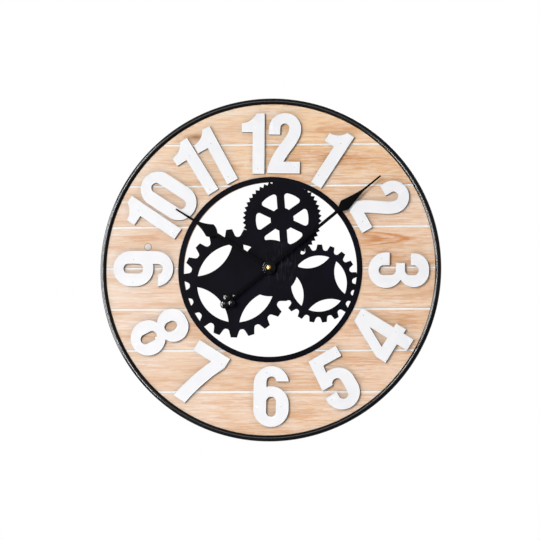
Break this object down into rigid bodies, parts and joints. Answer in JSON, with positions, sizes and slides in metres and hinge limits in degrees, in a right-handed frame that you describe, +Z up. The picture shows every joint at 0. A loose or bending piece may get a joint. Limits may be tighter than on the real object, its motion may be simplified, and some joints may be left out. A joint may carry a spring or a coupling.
{
  "type": "wall clock",
  "caption": "Round wall clock with a plank dial in a steel hoop, raised numerals, an open centre of gear shapes, pointed hands and a battery movement.",
  "frame": {"origin": "centre of the bounding box: the middle of the hoop, half way from the wall to the front of the cap nut", "axes": "+X to the viewer's right, +Y away from the viewer into the wall, +Z up; the dial faces -Y"},
  "size_m": [0.5999, 0.038, 0.6],
  "materials": {
    "dial_wood": "clear-coated pale boards",
    "white_numeral": "white paint",
    "hoop_metal": "satin black",
    "gear_metal": "satin black",
    "hand_metal": "satin black",
    "plywood": "bare plywood",
    "pad_rubber": "matte",
    "plated_steel": "zinc plated",
    "case_plastic": "moulded",
    "wheel_plastic": "moulded",
    "brass": "turned",
    "battery_wrap": "plain wrap"
  },
  "bodies": {
    "clock": {"batten_bottom": "plywood", "batten_left": "plywood", "batten_right": "plywood", "batten_top": "plywood", "battery_contacts": "plated_steel", "gear_plate": "gear_metal", "hanger_plate": "plated_steel", "hex_nut": "brass", "movement_case": "case_plastic", "movement_cover": "case_plastic", "numerals": "white_numeral", "plank_1": "dial_wood", "plank_2": "dial_wood", "plank_3_left": "dial_wood", "plank_3_right": "dial_wood", "plank_4_left": "dial_wood", "plank_4_right": "dial_wood", "plank_5_left": "dial_wood", "plank_5_right": "dial_wood", "plank_6_left": "dial_wood", "plank_6_right": "dial_wood", "plank_7": "dial_wood", "plank_8": "dial_wood", "rim_hoop": "hoop_metal", "wall_pads": "pad_rubber"},
    "minute_hand_group": {"minute_arbor": "wheel_plastic", "minute_hand": "hand_metal", "cap_nut": "brass"},
    "hour_hand_group": {"hour_wheel": "wheel_plastic", "hour_hand": "hand_metal"},
    "minute_wheel_group": {"minute_wheel": "wheel_plastic"},
    "setting_knob_group": {"setting_knob": "case_plastic"},
    "battery_group": {"battery": "battery_wrap"}
  },
  "joints": [
    {"name": "minute_hand", "type": "hinge", "parent": "clock", "child": "minute_hand_group", "pos_m": [0, 0, 0.0026], "axis": [0, 1, 0], "continuous": true},
    {"name": "hour_hand", "type": "hinge", "parent": "clock", "child": "hour_hand_group", "pos_m": [0, 0, 0.0026], "axis": [0, 1, 0], "continuous": true},
    {"name": "minute_wheel", "type": "hinge", "parent": "clock", "child": "minute_wheel_group", "pos_m": [0.0084, 0, 0.0026], "axis": [0, 1, 0], "continuous": true},
    {"name": "setting_knob", "type": "hinge", "parent": "clock", "child": "setting_knob_group", "pos_m": [0.01528, 0, 0.00742], "axis": [0, 1, 0], "continuous": true},
    {"name": "battery_out", "type": "slide", "parent": "clock", "child": "battery_group", "axis": [0, 1, 0], "range_m": [0, 0.02]}
  ],
  "couplings": [
    {"joint": "hour_hand", "follows": "minute_hand", "ratio": 0.083333},
    {"joint": "minute_wheel", "follows": "minute_hand", "ratio": -0.33333},
    {"joint": "setting_knob", "follows": "minute_hand", "ratio": 1}
  ]
}
